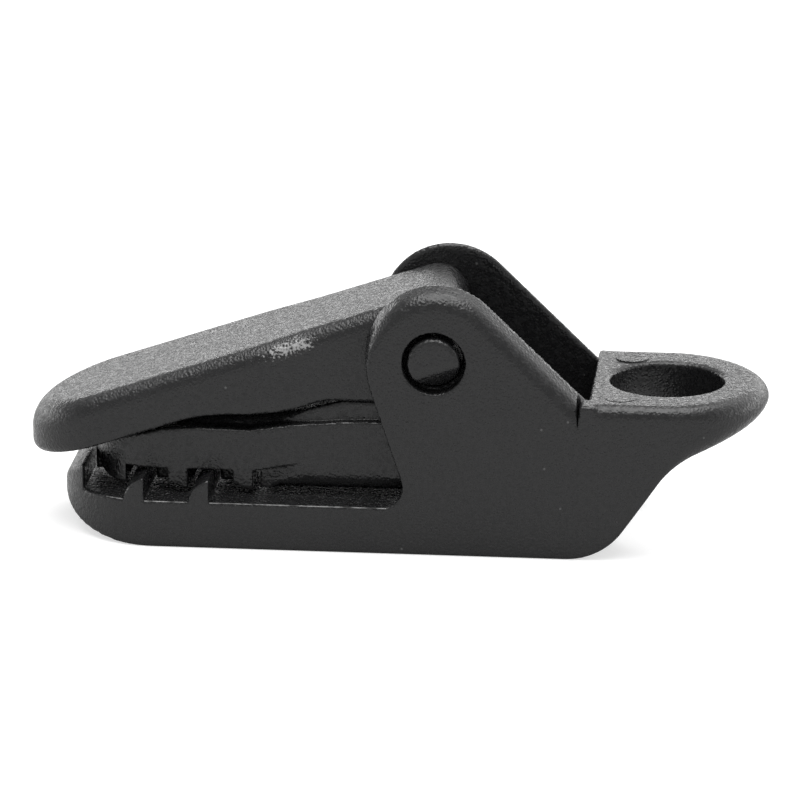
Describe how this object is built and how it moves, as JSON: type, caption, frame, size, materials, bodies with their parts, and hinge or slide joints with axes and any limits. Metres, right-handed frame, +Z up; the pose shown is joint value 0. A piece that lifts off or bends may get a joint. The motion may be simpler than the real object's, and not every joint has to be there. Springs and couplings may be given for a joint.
{
  "type": "tarp clip",
  "caption": "Moulded tarp clip: a locking lever with a cam hub presses a toothed upper jaw onto a toothed lower jaw, and an eye at the back takes a guy line.",
  "frame": {"origin": "on the base, under the middle of the closed clip's box", "axes": "+X towards the eye, -X towards the bite, +Z up from the base, +Y across the clip along the lever's pivot"},
  "size_m": [0.08, 0.022, 0.029],
  "materials": {
    "black_plastic": "fine spark-eroded moulding texture, satin"
  },
  "bodies": {
    "body": {"body": "black_plastic"},
    "upper_jaw": {"upper_jaw": "black_plastic"},
    "lever": {"lever": "black_plastic"}
  },
  "joints": [
    {"name": "lever_swing", "type": "hinge", "parent": "body", "child": "lever", "pos_m": [0.00475, 0, 0.0214], "axis": [0, 1, 0], "range_deg": [0, 115]},
    {"name": "jaw_swing", "type": "hinge", "parent": "body", "child": "upper_jaw", "pos_m": [0.015, 0, 0.0095], "axis": [0, 1, 0], "range_deg": [0, 12]}
  ],
  "couplings": [
    {"joint": "jaw_swing", "follows": "lever_swing", "ratio": 0.10435}
  ]
}
